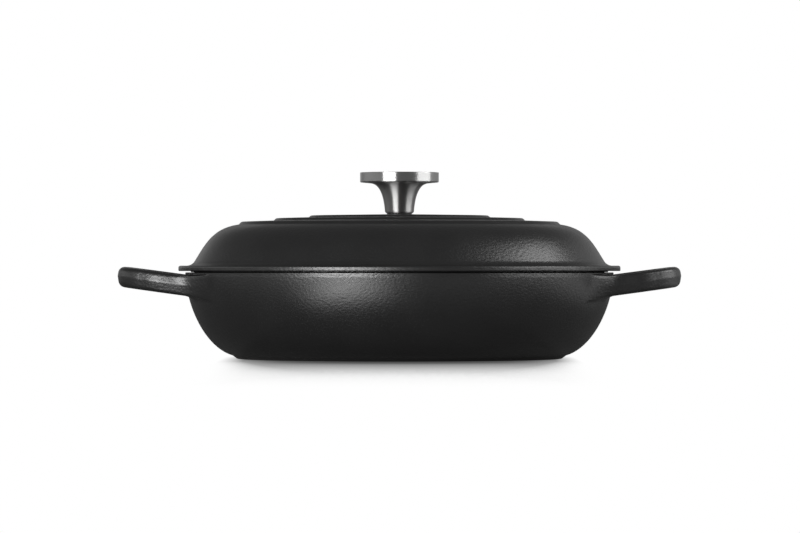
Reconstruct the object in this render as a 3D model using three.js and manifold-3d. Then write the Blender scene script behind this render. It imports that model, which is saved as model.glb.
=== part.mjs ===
// Shallow cast iron pot with two loop handles, under a stepped lid with a steel knob.
// Millimetres, +Z up. The origin is the middle of the pot's underside, and the handles lie along X.
import * as THREE from "three";
import { mergeVertices } from "three/addons/utils/BufferGeometryUtils.js";
import Module from "manifold-3d";

const wasm = await Module();
wasm.setup();

const DEGREE = Math.PI / 180;

// Pot casting
const RIM_RADIUS = 152.2;
const POT_HEIGHT = 61.2;
const POT_WALL = 4;
const POT_FLOOR = 4.5;
const FLOOR_FILLET = 40;
const RIM_WIDTH = 5.5;
const RIM_BEAD = 4.5;
const RIM_EDGE = 1;
const FOOT_RADIUS = 115.3;
const FOOT_HEIGHT = 2.3;
const FOOT_SPREAD = 3.2;
const FOOT_EDGE = 0.8;
const SIDE_ANGLE_AT_FOOT = 13.6 * DEGREE;
const SIDE_PULL_AT_FOOT = 18.4;
const SIDE_PULL_AT_RIM = 19.2;

// Loop handles, cast in one with the pot
const HANDLE_REACH = 48;
const HANDLE_DROP = 9.2;
const HANDLE_TILT = 7.7 * DEGREE;
const HANDLE_THICKNESS = 14.7;
const HANDLE_ROOT_WIDTH = 117;
const HANDLE_TIP_WIDTH = 95;
const HANDLE_BAR = 15.5;
const HANDLE_BOW = 2.5;
const HANDLE_CORNER = 27;
const HANDLE_EDGE = 4.2;
const HANDLE_BED = 3.5;
const ROOT_FILLET = 13;
const GRIP_FILLET = 9;
const FILLET_TURN = 8 * DEGREE;

// Lid casting
const LID_OVERHANG = 4.8;
const LID_WALL = 3.5;
const FLANGE_THICKNESS = 3.8;
const FLANGE_EDGE = 0.9;
const SEAT_GAP = 0.2;
const SEAT_STEP = 0.8;
const SEAT_OVERLAP = 1.5;
const RING_DEPTH = 5;
const RING_WIDTH = 4.5;
const RING_EDGE = 0.8;
const LID_PLAY = 1.2;
const SIDE_INSET = 6.7;
const SIDE_FILLET = 6;
const SIDE_FOOT_RISE = 2.5;
const SIDE_LEAN = 31.7 * DEGREE;
const SHOULDER_WIDTH = 31.2;
const SHOULDER_RISE = 26.1;
const SHOULDER_PULL_LOW = 15.3;
const SHOULDER_PULL_HIGH = 18.5;
const SHOULDER_TOP_SLOPE = 7.8 * DEGREE;
const STEP_COUNT = 3;
const STEP_PITCH = 24.9;
const STEP_RISE = 1.6;
const STEP_RUN = 1.6;
const STEP_EDGE = 2.4;
const TERRACE_RISE = 1.05;

// Knob and its fastening
const TOUCH_GAP = 0.05;
const GASKET_RADIUS = 8.9;
const GASKET_THICKNESS = 0.6;
const STEM_FOOT_RADIUS = 10.3;
const STEM_FOOT_CHAMFER = 1;
const STEM_TOP_RADIUS = 19.6;
const STEM_HEIGHT = 21.1;
const STEM_BORE = 8.4;
const STEM_FLOOR = 3.5;
const FLARE_PULL_LOW = 7.8;
const FLARE_PULL_HIGH = 6.9;
const FLARE_LEAN_LOW = 3.9 * DEGREE;
const FLARE_SLOPE_HIGH = 10.5 * DEGREE;
const CAP_RADIUS = 28;
const CAP_HEIGHT = 8.5;
const CAP_UNDERCUT = 1.5;
const CAP_EDGE = 1.1;
const CAP_SHELL = 2.2;
const CAP_SPIGOT_DEPTH = 4;
const CAP_SPIGOT_WALL = 1.6;
const FIT_GAP = 0.2;
const SCREW_RADIUS = 3;
const SCREW_END_GAP = 1.5;
const SCREW_HEAD_RADIUS = 6;
const SCREW_HEAD_HEIGHT = 3.6;
const SCREW_HEAD_EDGE = 1.4;
const RECESS_LENGTH = 6.4;
const RECESS_WIDTH = 1.5;
const RECESS_DEPTH = 2;
const SCREW_HOLE_PLAY = 0.5;
const THREAD_GAP = 0.1;
const INSERT_NECK_WALL = 1.7;
const INSERT_FLANGE_RADIUS = 7.2;
const INSERT_FLANGE_THICKNESS = 2;
const INSERT_BODY_LENGTH = 8;
const INSERT_ROOF = 2;
const FLAT_WASHER_RADIUS = 8;
const FLAT_WASHER_THICKNESS = 1.2;
const SPRING_WASHER_RADIUS = 5.5;
const SPRING_WASHER_THICKNESS = 1.6;
const SPRING_WASHER_SPLIT = 0.8;
const SPRING_WASHER_SPLIT_LEAN = 25 * DEGREE;

// Fineness of round surfaces
const CASTING_SEGMENTS = 56;
const KNOB_SEGMENTS = 32;
const SCREW_SEGMENTS = 24;
const CURVE_STEPS = 7;
const CORNER_STEPS = 2;
const HANDLE_CORNER_STEPS = 5;
const HANDLE_EDGE_STEPS = 3;

// Heights and radii that several pieces share
const RIM_INNER_RADIUS = RIM_RADIUS - RIM_WIDTH;
const LID_SEAT = POT_HEIGHT + SEAT_GAP;
const FLANGE_BOTTOM = LID_SEAT + SEAT_STEP;
const FLANGE_TOP = FLANGE_BOTTOM + FLANGE_THICKNESS;
const SHOULDER_FOOT = new THREE.Vector2(RIM_RADIUS - SIDE_INSET, FLANGE_TOP + SIDE_FOOT_RISE);
const SHOULDER_TOP = new THREE.Vector2(
  SHOULDER_FOOT.x - SHOULDER_WIDTH,
  SHOULDER_FOOT.y + SHOULDER_RISE,
);
const LID_TOP = SHOULDER_TOP.y + STEP_COUNT * (STEP_RISE + TERRACE_RISE);
const LID_CEILING = LID_TOP - LID_WALL;
const GASKET_FOOT = LID_TOP + TOUCH_GAP;
const STEM_FOOT = GASKET_FOOT + GASKET_THICKNESS + TOUCH_GAP;
const STEM_FLOOR_TOP = STEM_FOOT + STEM_FLOOR;
const CAP_FOOT = STEM_FOOT + STEM_HEIGHT + TOUCH_GAP;
const INSERT_FOOT = STEM_FLOOR_TOP + TOUCH_GAP;
const INSERT_TOP = INSERT_FOOT + INSERT_FLANGE_THICKNESS + INSERT_BODY_LENGTH;
const THREAD_TOP = INSERT_TOP - INSERT_ROOF;
const FLAT_WASHER_FOOT = LID_CEILING - TOUCH_GAP - FLAT_WASHER_THICKNESS;
const SPRING_WASHER_FOOT = FLAT_WASHER_FOOT - TOUCH_GAP - SPRING_WASHER_THICKNESS;
const SCREW_SHOULDER = SPRING_WASHER_FOOT - TOUCH_GAP;
const SCREW_HOLE_RADIUS = SCREW_RADIUS + SCREW_HOLE_PLAY;

// Points of a polygon whose corners {x, y, radius} are rounded by arcs. A fillet never takes
// more than its share of the two edges beside it.
function rounded(corners, steps = CORNER_STEPS) {
  const largestShare = 0.48;
  return corners.flatMap((corner, i) => {
    const tip = new THREE.Vector2(corner.x, corner.y);
    if (!corner.radius) return [tip];
    const before = corners.at(i - 1);
    const after = corners[(i + 1) % corners.length];
    const back = new THREE.Vector2(before.x, before.y).sub(tip);
    const ahead = new THREE.Vector2(after.x, after.y).sub(tip);
    const limit = largestShare * Math.min(back.length(), ahead.length());
    back.normalize();
    ahead.normalize();
    const halfAngle = Math.acos(THREE.MathUtils.clamp(back.dot(ahead), -1, 1)) / 2;
    const cut = Math.min(corner.radius / Math.tan(halfAngle), limit);
    const radius = cut * Math.tan(halfAngle);
    const middle = back.clone().add(ahead).normalize();
    const centre = tip.clone().addScaledVector(middle, radius / Math.sin(halfAngle));
    const start = tip.clone().addScaledVector(back, cut).sub(centre);
    const turn = Math.sign(ahead.cross(back)) * (Math.PI - 2 * halfAngle);
    return Array.from({ length: steps + 1 }, (_, k) =>
      start.clone().rotateAround(new THREE.Vector2(), (turn * k) / steps).add(centre),
    );
  });
}

const corner = (x, y, radius = 0) => ({ x, y, radius });

// A cubic curve given by its two ends and, at each, the angle and length of its pull.
function pulledCurve(start, startAngle, startPull, end, endAngle, endPull) {
  const ray = (angle, length) => new THREE.Vector2(Math.cos(angle), Math.sin(angle)).multiplyScalar(length);
  return new THREE.CubicBezierCurve(
    start,
    start.clone().add(ray(startAngle, startPull)),
    end.clone().sub(ray(endAngle, endPull)),
    end,
  );
}

// The points of a curve, moved to its left by a distance.
function offsetPoints(curve, distance, steps = CURVE_STEPS) {
  return Array.from({ length: steps + 1 }, (_, k) => {
    const along = curve.getTangent(k / steps);
    return curve.getPoint(k / steps).add(new THREE.Vector2(-along.y, along.x).multiplyScalar(distance));
  });
}

// Turns an outline of radius and height about Z. The outline runs anticlockwise, and either
// starts and ends on the axis or is closed here.
function turned(outline, segments) {
  const onAxis = outline[0].x === 0;
  const points = onAxis ? outline : [...outline, outline[0]];
  return new THREE.LatheGeometry(points, segments).rotateX(Math.PI / 2);
}

// A closed geometry as a solid that can be joined and cut.
function solidOf(geometry) {
  const bare = geometry.clone();
  bare.deleteAttribute("normal");
  bare.deleteAttribute("uv");
  const merged = mergeVertices(bare, 1e-4);
  return new wasm.Manifold(
    new wasm.Mesh({
      numProp: 3,
      vertProperties: merged.getAttribute("position").array,
      triVerts: new Uint32Array(merged.index.array),
    }),
  );
}

// A solid's surface as a geometry again.
function geometryOf(solid) {
  const mesh = solid.getMesh();
  const geometry = new THREE.BufferGeometry();
  geometry.setAttribute("position", new THREE.BufferAttribute(mesh.vertProperties, mesh.numProp));
  geometry.setIndex(new THREE.BufferAttribute(mesh.triVerts, 1));
  geometry.computeVertexNormals();
  return geometry;
}

// Where the straight line y = level - slope * x leaves a circle about the origin.
function lineMeetsCircle(level, slope, radius) {
  const square = 1 + slope * slope;
  const root = Math.sqrt(square * radius * radius - level * level);
  const x = (slope * level + root) / square;
  return new THREE.Vector2(x, level - slope * x);
}

// Pot

function potSide() {
  const foot = new THREE.Vector2(FOOT_RADIUS + FOOT_SPREAD, FOOT_HEIGHT);
  const rim = new THREE.Vector2(RIM_RADIUS, POT_HEIGHT - RIM_EDGE);
  return pulledCurve(foot, SIDE_ANGLE_AT_FOOT, SIDE_PULL_AT_FOOT, rim, Math.PI / 2, SIDE_PULL_AT_RIM);
}

// The pot's outside, filled to the axis.
function potBlank() {
  const side = potSide().getPoints(CURVE_STEPS);
  return turned(
    rounded([
      corner(0, 0),
      corner(FOOT_RADIUS, 0, FOOT_EDGE),
      ...side.slice(0, -1).map((p) => corner(p.x, p.y)),
      corner(RIM_RADIUS, POT_HEIGHT, RIM_EDGE),
      corner(0, POT_HEIGHT),
    ]),
    CASTING_SEGMENTS,
  );
}

// What is cut out for the inside: floor, curved side, and the narrower mouth inside the rim bead.
function potInside() {
  const above = POT_HEIGHT + POT_WALL;
  const side = offsetPoints(potSide(), POT_WALL).filter((p) => p.y < POT_HEIGHT - 2 * RIM_BEAD);
  const floorRun = (side[0].y - POT_FLOOR) / Math.tan(SIDE_ANGLE_AT_FOOT);
  const wallRadius = RIM_RADIUS - POT_WALL;
  return turned(
    rounded([
      corner(0, POT_FLOOR),
      corner(side[0].x - floorRun, POT_FLOOR, FLOOR_FILLET),
      ...side.map((p) => corner(p.x, p.y)),
      corner(wallRadius, POT_HEIGHT - 2 * RIM_BEAD, RIM_BEAD),
      corner(RIM_INNER_RADIUS, POT_HEIGHT - RIM_BEAD, RIM_BEAD),
      corner(RIM_INNER_RADIUS, above),
      corner(0, above),
    ]),
    CASTING_SEGMENTS,
  );
}

// One handle: a loop with a rounded section. Its plan is drawn with x outwards from the pot's
// axis, laid in the plane that rises outwards by the tilt, and its roots run into the pot's side.
function handleLoop() {
  const tipX = RIM_RADIUS + HANDLE_REACH / Math.cos(HANDLE_TILT);
  const bed = RIM_RADIUS - HANDLE_BED;
  const slope = (HANDLE_ROOT_WIDTH - HANDLE_TIP_WIDTH) / 2 / (tipX - RIM_RADIUS);
  const outerLevel = HANDLE_TIP_WIDTH / 2 + slope * tipX;
  const innerLevel = outerLevel - HANDLE_BAR * Math.hypot(1, slope);
  const around = (point, turn) => point.clone().rotateAround(new THREE.Vector2(), turn);

  const outerRoot = lineMeetsCircle(outerLevel, slope, bed);
  const outerBed = around(outerRoot, FILLET_TURN);
  const outsideTop = [
    corner(tipX, 0, RIM_RADIUS),
    corner(tipX - HANDLE_BOW, outerLevel - slope * (tipX - HANDLE_BOW), HANDLE_CORNER),
    corner(outerRoot.x, outerRoot.y, ROOT_FILLET),
    corner(outerBed.x, outerBed.y),
  ];

  const gripX = tipX - HANDLE_BAR;
  const innerRoot = lineMeetsCircle(innerLevel, slope, bed);
  const innerBed = around(innerRoot, -FILLET_TURN);
  const openingTop = [
    corner(gripX, 0, RIM_RADIUS),
    corner(gripX - HANDLE_BOW, innerLevel - slope * (gripX - HANDLE_BOW), HANDLE_CORNER - HANDLE_BAR),
    corner(innerRoot.x, innerRoot.y, GRIP_FILLET),
    corner(innerBed.x, innerBed.y),
  ];

  // The lower half mirrors the upper one, without the corner on the middle line.
  const bothHalves = (top) => {
    const bottom = top.slice(1).reverse().map((c) => corner(c.x, -c.y, c.radius));
    return rounded([...top, ...bottom], HANDLE_CORNER_STEPS);
  };
  const plan = new THREE.Shape(bothHalves(outsideTop));
  plan.holes.push(new THREE.Path(bothHalves(openingTop)));

  return new THREE.ExtrudeGeometry(plan, {
    depth: HANDLE_THICKNESS - 2 * HANDLE_EDGE,
    bevelEnabled: true,
    bevelThickness: HANDLE_EDGE,
    bevelSize: HANDLE_EDGE,
    bevelOffset: -HANDLE_EDGE,
    bevelSegments: HANDLE_EDGE_STEPS,
  })
    .translate(-RIM_RADIUS, 0, HANDLE_EDGE - HANDLE_THICKNESS / 2)
    .rotateY(-HANDLE_TILT)
    .translate(RIM_RADIUS, 0, POT_HEIGHT - HANDLE_DROP);
}

function potGeometry() {
  const handle = solidOf(handleLoop());
  const otherHandle = solidOf(handleLoop().rotateZ(Math.PI));
  return geometryOf(solidOf(potBlank()).add(handle).add(otherHandle).subtract(solidOf(potInside())));
}

// Lid

function lidGeometry() {
  const lidRadius = RIM_RADIUS + LID_OVERHANG;
  const ringOuter = RIM_INNER_RADIUS - LID_PLAY;
  const ringInner = ringOuter - RING_WIDTH;
  const seatEdge = RIM_INNER_RADIUS + SEAT_OVERLAP;
  const shoulder = pulledCurve(
    SHOULDER_FOOT,
    Math.PI / 2 + SIDE_LEAN,
    SHOULDER_PULL_LOW,
    SHOULDER_TOP,
    Math.PI - SHOULDER_TOP_SLOPE,
    SHOULDER_PULL_HIGH,
  );
  const flangeRoot = SHOULDER_FOOT.x + SIDE_FOOT_RISE * Math.tan(SIDE_LEAN);

  // Each step is a short slanting riser at the outer edge of a terrace that climbs inwards.
  const steps = Array.from({ length: STEP_COUNT }, (_, k) => {
    const radius = SHOULDER_TOP.x - k * STEP_PITCH;
    const foot = SHOULDER_TOP.y + k * (STEP_RISE + TERRACE_RISE);
    return [corner(radius, foot), corner(radius - STEP_RUN, foot + STEP_RISE, STEP_EDGE)];
  }).flat();

  const inside = offsetPoints(shoulder, LID_WALL).reverse();
  return turned(
    rounded([
      corner(ringOuter, LID_SEAT - RING_DEPTH, RING_EDGE),
      corner(ringOuter, LID_SEAT),
      corner(seatEdge, LID_SEAT),
      corner(seatEdge, FLANGE_BOTTOM),
      corner(lidRadius, FLANGE_BOTTOM, FLANGE_EDGE),
      corner(lidRadius, FLANGE_TOP, FLANGE_EDGE),
      corner(flangeRoot, FLANGE_TOP, SIDE_FILLET),
      ...shoulder.getPoints(CURVE_STEPS).slice(0, -1).map((p) => corner(p.x, p.y)),
      ...steps,
      corner(SCREW_HOLE_RADIUS, LID_TOP),
      corner(SCREW_HOLE_RADIUS, LID_CEILING),
      corner(FLAT_WASHER_RADIUS + FIT_GAP, LID_CEILING),
      ...inside.map((p) => corner(p.x, p.y)),
      corner(ringInner, LID_SEAT - RING_DEPTH, RING_EDGE),
    ]),
    CASTING_SEGMENTS,
  );
}

// Knob and fastening, all turned about the axis

// A flat ring from one height up to another.
function ring(inner, outer, foot, thickness, segments) {
  return turned(
    rounded([
      corner(outer, foot),
      corner(outer, foot + thickness),
      corner(inner, foot + thickness),
      corner(inner, foot),
    ]),
    segments,
  );
}

function gasketGeometry() {
  return ring(SCREW_HOLE_RADIUS, GASKET_RADIUS, GASKET_FOOT, GASKET_THICKNESS, KNOB_SEGMENTS);
}

function flatWasherGeometry() {
  return ring(SCREW_HOLE_RADIUS, FLAT_WASHER_RADIUS, FLAT_WASHER_FOOT, FLAT_WASHER_THICKNESS, SCREW_SEGMENTS);
}

// The spring washer is tightened flat, with its slanting split left open.
function springWasherGeometry() {
  const whole = ring(
    SCREW_HOLE_RADIUS,
    SPRING_WASHER_RADIUS,
    SPRING_WASHER_FOOT,
    SPRING_WASHER_THICKNESS,
    SCREW_SEGMENTS,
  );
  const split = new THREE.BoxGeometry(SPRING_WASHER_RADIUS, SPRING_WASHER_SPLIT, 4 * SPRING_WASHER_THICKNESS)
    .rotateX(SPRING_WASHER_SPLIT_LEAN)
    .translate(
      (SCREW_HOLE_RADIUS + SPRING_WASHER_RADIUS) / 2,
      0,
      SPRING_WASHER_FOOT + SPRING_WASHER_THICKNESS / 2,
    );
  return geometryOf(solidOf(whole).subtract(solidOf(split)));
}

// The flared stem is a cup: its floor is clamped to the lid by the insert's flange.
function stemGeometry() {
  const footTop = new THREE.Vector2(STEM_FOOT_RADIUS, STEM_FOOT + STEM_FOOT_CHAMFER);
  const mouth = new THREE.Vector2(STEM_TOP_RADIUS, STEM_FOOT + STEM_HEIGHT);
  const flare = pulledCurve(
    footTop,
    Math.PI / 2 - FLARE_LEAN_LOW,
    FLARE_PULL_LOW,
    mouth,
    FLARE_SLOPE_HIGH,
    FLARE_PULL_HIGH,
  );
  const neckHole = SCREW_RADIUS + THREAD_GAP + INSERT_NECK_WALL + FIT_GAP;
  return turned(
    rounded([
      corner(STEM_FOOT_RADIUS - STEM_FOOT_CHAMFER, STEM_FOOT),
      ...flare.getPoints(CURVE_STEPS).map((p) => corner(p.x, p.y)),
      corner(STEM_BORE, mouth.y),
      corner(STEM_BORE, STEM_FLOOR_TOP),
      corner(neckHole, STEM_FLOOR_TOP),
      corner(neckHole, STEM_FOOT),
    ]),
    KNOB_SEGMENTS,
  );
}

// The threaded insert stands in the stem, with its flange on the stem's floor.
function insertGeometry() {
  const bore = SCREW_RADIUS + THREAD_GAP;
  const neck = bore + INSERT_NECK_WALL;
  const flangeTop = INSERT_FOOT + INSERT_FLANGE_THICKNESS;
  return turned(
    rounded([
      corner(0, THREAD_TOP),
      corner(bore, THREAD_TOP),
      corner(bore, STEM_FOOT + FIT_GAP),
      corner(neck, STEM_FOOT + FIT_GAP),
      corner(neck, INSERT_FOOT),
      corner(INSERT_FLANGE_RADIUS, INSERT_FOOT),
      corner(INSERT_FLANGE_RADIUS, flangeTop),
      corner(neck, flangeTop),
      corner(neck, INSERT_TOP),
      corner(0, INSERT_TOP),
    ]),
    SCREW_SEGMENTS,
  );
}

// The hollow cap plugs into the stem's bore by a spigot.
function capGeometry() {
  const top = CAP_FOOT + CAP_HEIGHT;
  const spigotOuter = STEM_BORE - FIT_GAP;
  const spigotInner = spigotOuter - CAP_SPIGOT_WALL;
  const hollowRadius = CAP_RADIUS - CAP_SHELL;
  const hollowFloor = CAP_FOOT + CAP_UNDERCUT + CAP_SHELL;
  return turned(
    rounded([
      corner(0, top - CAP_SHELL),
      corner(hollowRadius, top - CAP_SHELL),
      corner(hollowRadius, hollowFloor),
      corner(spigotInner, hollowFloor),
      corner(spigotInner, CAP_FOOT - CAP_SPIGOT_DEPTH),
      corner(spigotOuter, CAP_FOOT - CAP_SPIGOT_DEPTH),
      corner(spigotOuter, CAP_FOOT),
      corner(STEM_TOP_RADIUS, CAP_FOOT),
      corner(CAP_RADIUS, CAP_FOOT + CAP_UNDERCUT, CAP_EDGE),
      corner(CAP_RADIUS, top, CAP_EDGE / 2),
      corner(0, top),
    ]),
    KNOB_SEGMENTS,
  );
}

// Pan head screw, put in from inside the lid, with a cross recess in its head.
function screwGeometry() {
  const headFoot = SCREW_SHOULDER - SCREW_HEAD_HEIGHT;
  const tip = THREAD_TOP - SCREW_END_GAP;
  const blank = turned(
    rounded([
      corner(0, headFoot),
      corner(SCREW_HEAD_RADIUS, headFoot, SCREW_HEAD_EDGE),
      corner(SCREW_HEAD_RADIUS, SCREW_SHOULDER),
      corner(SCREW_RADIUS, SCREW_SHOULDER),
      corner(SCREW_RADIUS, tip, SCREW_RADIUS / 4),
      corner(0, tip),
    ]),
    SCREW_SEGMENTS,
  );
  const slot = () => new THREE.BoxGeometry(RECESS_LENGTH, RECESS_WIDTH, 2 * RECESS_DEPTH).translate(0, 0, headFoot);
  const cross = solidOf(slot()).add(solidOf(slot().rotateZ(Math.PI / 2)));
  return geometryOf(solidOf(blank).subtract(cross));
}

// Assembly

const satinEnamel = { color: 0x232323, roughness: 0.5, metalness: 0 };
const brushedSteel = { color: 0xc4c4c4, roughness: 0.28, metalness: 1 };
const polishedSteel = { color: 0xcfcfcf, roughness: 0.12, metalness: 1 };
const plainSteel = { color: 0xa8a8a8, roughness: 0.4, metalness: 1 };
const darkFibre = { color: 0x1b1b1b, roughness: 0.85, metalness: 0 };

const pieces = {
  pot: [potGeometry(), satinEnamel],
  lid: [lidGeometry(), satinEnamel],
  knob_gasket: [gasketGeometry(), darkFibre],
  knob_stem: [stemGeometry(), polishedSteel],
  knob_cap: [capGeometry(), brushedSteel],
  knob_insert: [insertGeometry(), plainSteel],
  flat_washer: [flatWasherGeometry(), plainSteel],
  spring_washer: [springWasherGeometry(), plainSteel],
  knob_screw: [screwGeometry(), plainSteel],
};

const castIronPot = new THREE.Group();
for (const [name, [geometry, finish]] of Object.entries(pieces)) {
  const mesh = new THREE.Mesh(geometry, new THREE.MeshStandardMaterial(finish));
  mesh.name = name;
  castIronPot.add(mesh);
}

export default castIronPot;
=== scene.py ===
"""Looks of a shallow cast iron pot with a stepped lid and a steel knob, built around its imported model."""

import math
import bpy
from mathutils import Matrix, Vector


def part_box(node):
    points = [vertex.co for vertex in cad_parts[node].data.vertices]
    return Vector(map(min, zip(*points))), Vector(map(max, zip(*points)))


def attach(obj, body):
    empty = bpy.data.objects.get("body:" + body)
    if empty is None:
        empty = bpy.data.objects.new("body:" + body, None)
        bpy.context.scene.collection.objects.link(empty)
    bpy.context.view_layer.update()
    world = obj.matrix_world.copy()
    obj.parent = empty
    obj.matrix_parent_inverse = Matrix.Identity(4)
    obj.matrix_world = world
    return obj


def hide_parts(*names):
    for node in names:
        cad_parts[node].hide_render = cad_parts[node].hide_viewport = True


bl_info = {
    "name": "Cast Iron Pot",
    "version": (1, 0, 0),
    "blender": (4, 5, 0),
    "location": "View3D > Sidebar > Cast Iron Pot",
    "description": "Builds the enamelled pot, its lid and its steel knob around the packed model",
    "category": "Add Mesh",
}

from functools import reduce

import bpy
import numpy as np
from bpy.props import FloatProperty, FloatVectorProperty, PointerProperty
from bpy.types import Operator, Panel, PropertyGroup

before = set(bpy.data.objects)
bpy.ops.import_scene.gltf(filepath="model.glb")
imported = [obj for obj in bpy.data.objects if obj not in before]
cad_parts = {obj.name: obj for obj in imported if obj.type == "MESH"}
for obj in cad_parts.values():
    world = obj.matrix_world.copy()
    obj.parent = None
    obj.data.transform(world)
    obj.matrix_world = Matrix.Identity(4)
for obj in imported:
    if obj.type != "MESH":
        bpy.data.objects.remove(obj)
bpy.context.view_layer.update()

MM = 0.001
TURN = 2 * math.pi

POT_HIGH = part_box("pot")[1]
LID_LOW, LID_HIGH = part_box("lid")
GASKET_LOW, GASKET_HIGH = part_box("knob_gasket")
STEM_LOW, STEM_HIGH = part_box("knob_stem")
CAP_LOW, CAP_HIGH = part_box("knob_cap")
WASHER_LOW, WASHER_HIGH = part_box("flat_washer")
SPRING_LOW, SPRING_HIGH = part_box("spring_washer")
SCREW_LOW, SCREW_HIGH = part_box("knob_screw")


# Settings


def number(name, description, default, **kind):
    return FloatProperty(name=name, description=description, default=default, **kind)


def numbers(name, description, defaults, **kind):
    return FloatVectorProperty(name=name, description=description, default=defaults, **kind)


def length(name, description, millimetres):
    return number(name, description, millimetres * MM, unit="LENGTH", precision=5)


def lengths(name, description, millimetres):
    return numbers(name, description, [value * MM for value in millimetres], unit="LENGTH", precision=5)


def slope(name, description, degrees):
    return number(name, description, math.radians(degrees), subtype="ANGLE")


def share(name, description, default):
    return number(name, description, default, subtype="FACTOR", min=0, max=1)


def power(name, description, watts):
    return number(name, description, watts, unit="POWER")


def colour(name, description, default):
    return numbers(name, description, default, subtype="COLOR", min=0, max=1)


class PotSizes(PropertyGroup):
    """Sizes of the bowl."""

    rim_radius: length("Rim radius", "Outer radius of the rim", POT_HIGH.y / MM)
    height: length("Height", "Height of the rim above the ground", 61.2)
    band: length("Rim band", "Height of the upright band below the rim", 3)
    rim_width: length("Rim width", "Width of the land that the lid rests on", 5.5)
    rim_edge: length("Rim edge", "Rounding of the rim's edges", 0.45)
    bead: length("Bead", "Height of the thickening inside the rim", 4.5)
    wall: length("Wall", "Thickness of the side", 4)
    floor: length("Floor", "Thickness of the bottom", 4.5)
    floor_fillet: length("Floor fillet", "Rounding from the floor to the side", 40)
    foot_radius: length("Foot radius", "Radius of the flat that the pot stands on", 115.3)
    foot_height: length("Foot height", "Height of the foot's chamfer", 2.3)
    foot_spread: length("Foot spread", "Width of the foot's chamfer", 3.2)
    foot_edge: length("Foot edge", "Rounding of the foot's edges", 1.4)
    side_slope: slope("Side slope", "Rise of the side where it leaves the foot", 16)
    side_lean: slope("Side lean", "Angle of the side where it meets the rim band", 85.5)
    low_pull: length("Low pull", "How far the side keeps its slope at the foot", 18.9)
    high_pull: length("High pull", "How far the side keeps its lean at the band", 24.5)


class HandleSizes(PropertyGroup):
    """Sizes of the loop handles."""

    tip: length("Tip", "Distance of the handle's outer face from the pot's axis", POT_HIGH.x / MM - 0.35)
    drop: length("Drop", "Height of the rim above the handle's middle at its root", 8.95)
    tilt: slope("Tilt", "Rise of the handle outwards", 7.7)
    thickness: length("Thickness", "Thickness of the bar", 14.3)
    bar: length("Bar", "Width of the bar at the parting line", 14.6)
    draft: length("Draft", "How far the bar's sides lean in from the parting line", 1.1)
    parting: length("Parting line", "Height of the mould's parting line above the bar's middle", 0.35)
    seam: length("Seam", "Rounding of the parting line", 0.5)
    leg_edge: length("Leg edge", "Rounding of the legs' upper edges", 2.9)
    leg_low_edge: length("Leg low edge", "Rounding of the legs' lower edges", 2.3)
    grip_edge: length("Grip edge", "Rounding of the grip's upper edges", 5)
    grip_low_edge: length("Grip low edge", "Rounding of the grip's lower edges", 4.2)
    root_width: length("Root width", "Width between the legs' middles at the rim", 101.8)
    bend_width: length("Bend width", "Width between the legs' middles where they bend", 99.4)
    bend: length("Bend", "Distance from the rim to the legs' bend", 17.3)
    leg_curve: length("Leg curve", "Rounding of the legs' bend", 28)
    tip_width: length("Tip width", "Width between the legs' middles at the tip, before rounding", 80)
    corner: length("Corner", "Rounding of the loop's corners, along the bar's middle", 18)
    bow: length("Bow", "How far the middle of the grip stands out", 2)
    root_length: length("Root length", "Where the legs reach their full section, beyond the rim", 12)
    under_fillet: length("Under fillet", "Height of the fillet below the root", 5)
    inner_spread: slope("Inner spread", "Where the root's fillet starts inside the loop", 12)
    outer_spread: slope("Outer spread", "Where the root's fillet starts outside the loop", 30)


class LidSizes(PropertyGroup):
    """Sizes of the lid."""

    radius: length("Radius", "Outer radius of the flange", LID_HIGH.x / MM)
    top: length("Top", "Height of the lid's crown", LID_HIGH.z / MM)
    wall: length("Wall", "Thickness of the dome", 3.5)
    seat: length("Seat", "Height of the land that rests on the pot", 61.4)
    seat_step: length("Seat step", "Height of the flange's underside above the seat", 0.8)
    seat_radius: length("Seat radius", "Outer radius of the seat", 148.2)
    flange: length("Flange", "Thickness of the flange", 3.8)
    flange_edge: length("Flange edge", "Rounding of the flange's lower edge", 0.7)
    flange_top_edge: length("Flange top edge", "Rounding of the flange's upper edge", 1.5)
    ring_radius: length("Ring radius", "Outer radius of the locating ring", 145.5)
    ring_width: length("Ring width", "Width of the locating ring", 4.5)
    side_radius: length("Side radius", "Radius of the dome a little above the flange", 145.9)
    side_rise: length("Side rise", "Height above the flange where the side's curve starts", 2.5)
    side_lean: slope("Side lean", "Lean of the side from upright at its foot", 31.7)
    side_fillet: length("Side fillet", "Rounding from the flange to the side", 8)
    low_pull: length("Low pull", "How far the side keeps its lean", 15.3)
    high_pull: length("High pull", "How far the shoulder keeps its slope", 18.5)
    shoulder_slope: slope("Shoulder slope", "Slope where the shoulder meets the first step", 7.8)
    shoulder_width: length("Shoulder width", "Distance from the side to the first step", 31.6)
    step_pitch: length("Step pitch", "Distance from one step to the next", 24.9)
    step_rises: lengths("Step rises", "Height of each step", (2, 1.7, 1.35))
    step_edge: length("Step edge", "Rounding of each step's edge", 2.4)
    step_foot: length("Step foot", "Rounding at the foot of each step", 0.7)
    terrace_rises: lengths("Terrace rises", "Climb towards the middle above each step", (0.8, 0.6, 0.9))
    hole_radius: length("Hole radius", "Radius of the hole for the knob's screw", 3.5)


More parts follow.
